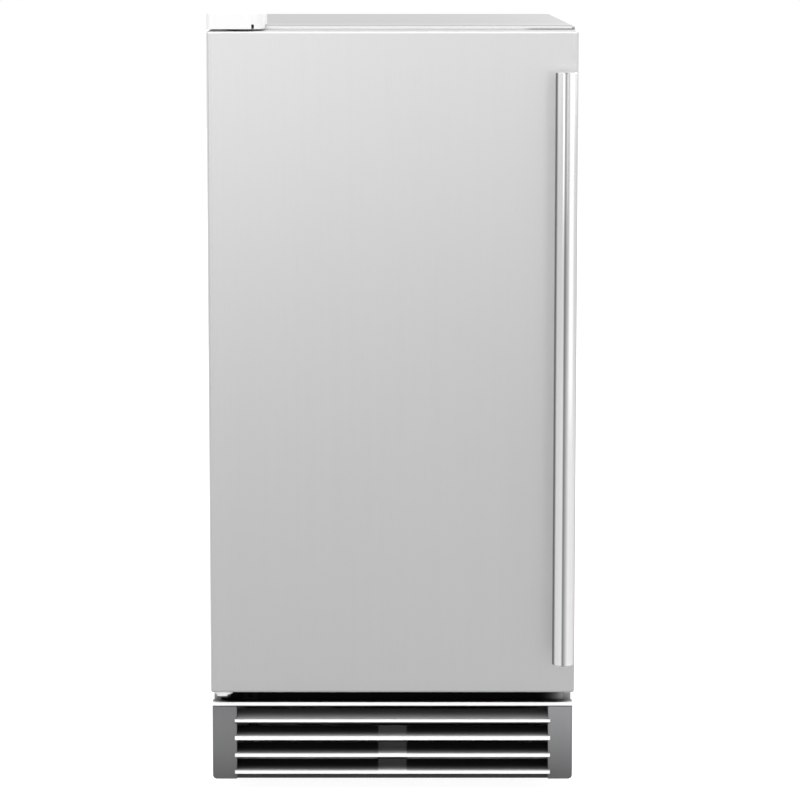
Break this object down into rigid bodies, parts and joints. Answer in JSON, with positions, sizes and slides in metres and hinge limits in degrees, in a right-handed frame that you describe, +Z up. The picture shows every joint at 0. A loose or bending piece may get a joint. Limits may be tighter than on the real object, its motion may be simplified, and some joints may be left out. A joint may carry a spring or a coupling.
{
  "type": "outdoor ice maker",
  "caption": "Free-standing outdoor ice maker: a narrow stainless cabinet with a hinged insulated door, bar handle, hinge cover, louvred kick grille and levelling feet.",
  "frame": {"origin": "on the floor, in the middle of the whole machine with its handle", "axes": "+Z up, -Y out of the door's face, +X to the right of someone facing the door"},
  "size_m": [0.378, 0.634, 0.8154],
  "materials": {
    "door_stainless": "fine vertical brushed stainless",
    "cabinet_stainless": "brushed stainless sheet",
    "galvanised": "dull galvanised sheet",
    "handle_steel": "polished stainless",
    "kick_steel": "brushed stainless",
    "kick_ends": "satin grey moulding",
    "black_paint": "black powder coat",
    "hinge_cap": "satin white moulding",
    "bin_plastic": "white food-safe liner",
    "white_plastic": "white moulding",
    "grey_plastic": "grey moulding",
    "clear_grey": "smooth pale grey",
    "foam": "closed-cell foam",
    "gasket": "soft grey vinyl",
    "rubber": "black rubber",
    "evaporator": "nickel-plated copper",
    "copper": "drawn copper tube",
    "fins": "mill aluminium fins",
    "black_plastic": "black moulding",
    "blue_plastic": "blue float",
    "hose": "grey drain hose"
  },
  "bodies": {
    "cabinet": {"side_panel_left": "cabinet_stainless", "side_panel_right": "cabinet_stainless", "top_panel": "cabinet_stainless", "base_pan": "galvanised", "rear_panel": "galvanised", "machine_cover": "galvanised", "fan_shroud": "galvanised", "top_hinge_plate": "galvanised", "bottom_hinge_plate": "galvanised", "kick_centre_bracket": "galvanised", "kick_top_rail": "kick_steel", "kick_louvre_1": "kick_steel", "kick_louvre_2": "kick_steel", "kick_louvre_3": "kick_steel", "kick_bottom_rail": "kick_steel", "kick_end_left": "kick_ends", "kick_end_right": "kick_ends", "front_crossmember": "black_paint", "compressor": "black_paint", "fan_motor": "black_paint", "top_hinge_cap": "hinge_cap", "bin_liner": "bin_plastic", "water_distributor": "white_plastic", "water_trough": "white_plastic", "scoop_holder": "white_plastic", "water_inlet_valve": "white_plastic", "evaporator_housing": "grey_plastic", "control_fascia": "grey_plastic", "circulation_pump": "grey_plastic", "electrical_box": "grey_plastic", "bin_drain": "grey_plastic", "insulation": "foam", "pump_hose": "rubber", "evaporator_plate": "evaporator", "evaporator_coil": "copper", "discharge_line": "copper", "suction_line": "copper", "filter_drier": "copper", "condenser": "fins", "drain_hose": "hose"},
    "door": {"door_skin": "door_stainless", "door_foam": "foam", "door_liner": "bin_plastic", "door_gasket": "gasket", "handle_bar": "handle_steel", "handle_post_upper": "handle_steel", "handle_post_lower": "handle_steel", "door_bush_upper": "white_plastic", "door_bush_lower": "white_plastic"},
    "foot_fl": {"foot_front_left": "rubber"},
    "foot_fr": {"foot_front_right": "rubber"},
    "foot_rl": {"foot_rear_left": "rubber"},
    "foot_rr": {"foot_rear_right": "rubber"},
    "fan": {"fan_blade": "black_plastic"},
    "curtain": {"water_curtain": "clear_grey"},
    "scoop": {"ice_scoop": "clear_grey"},
    "power_button": {"button_power": "white_plastic"},
    "clean_button": {"button_clean": "white_plastic"},
    "light_button": {"button_light": "white_plastic"},
    "float": {"water_float": "blue_plastic"}
  },
  "joints": [
    {"name": "door_hinge", "type": "hinge", "parent": "cabinet", "child": "door", "pos_m": [-0.1765, -0.248, 0.45], "axis": [0, 0, -1], "range_deg": [0, 115]},
    {"name": "foot_fl_screw", "type": "slide", "parent": "cabinet", "child": "foot_fl", "axis": [0, 0, -1], "range_m": [0, 0.02]},
    {"name": "foot_fr_screw", "type": "slide", "parent": "cabinet", "child": "foot_fr", "axis": [0, 0, -1], "range_m": [0, 0.02]},
    {"name": "foot_rl_screw", "type": "slide", "parent": "cabinet", "child": "foot_rl", "axis": [0, 0, -1], "range_m": [0, 0.02]},
    {"name": "foot_rr_screw", "type": "slide", "parent": "cabinet", "child": "foot_rr", "axis": [0, 0, -1], "range_m": [0, 0.02]},
    {"name": "fan_spin", "type": "hinge", "parent": "cabinet", "child": "fan", "pos_m": [-0.1, 0.1792, 0.1168], "axis": [0, 1, 0], "continuous": true},
    {"name": "curtain_swing", "type": "hinge", "parent": "cabinet", "child": "curtain", "pos_m": [0.02, 0.199, 0.7557], "axis": [-1, 0, 0], "range_deg": [0, 30]},
    {"name": "scoop_lift", "type": "slide", "parent": "cabinet", "child": "scoop", "axis": [0, 0, 1], "range_m": [0, 0.045]},
    {"name": "power_button_press", "type": "slide", "parent": "cabinet", "child": "power_button", "axis": [0, 1, 0], "range_m": [0, 0.0015], "stiffness_N_per_m": 400},
    {"name": "clean_button_press", "type": "slide", "parent": "cabinet", "child": "clean_button", "axis": [0, 1, 0], "range_m": [0, 0.0015], "stiffness_N_per_m": 400},
    {"name": "light_button_press", "type": "slide", "parent": "cabinet", "child": "light_button", "axis": [0, 1, 0], "range_m": [0, 0.0015], "stiffness_N_per_m": 400},
    {"name": "float_rise", "type": "slide", "parent": "cabinet", "child": "float", "axis": [0, 0, 1], "range_m": [0, 0.012]}
  ]
}
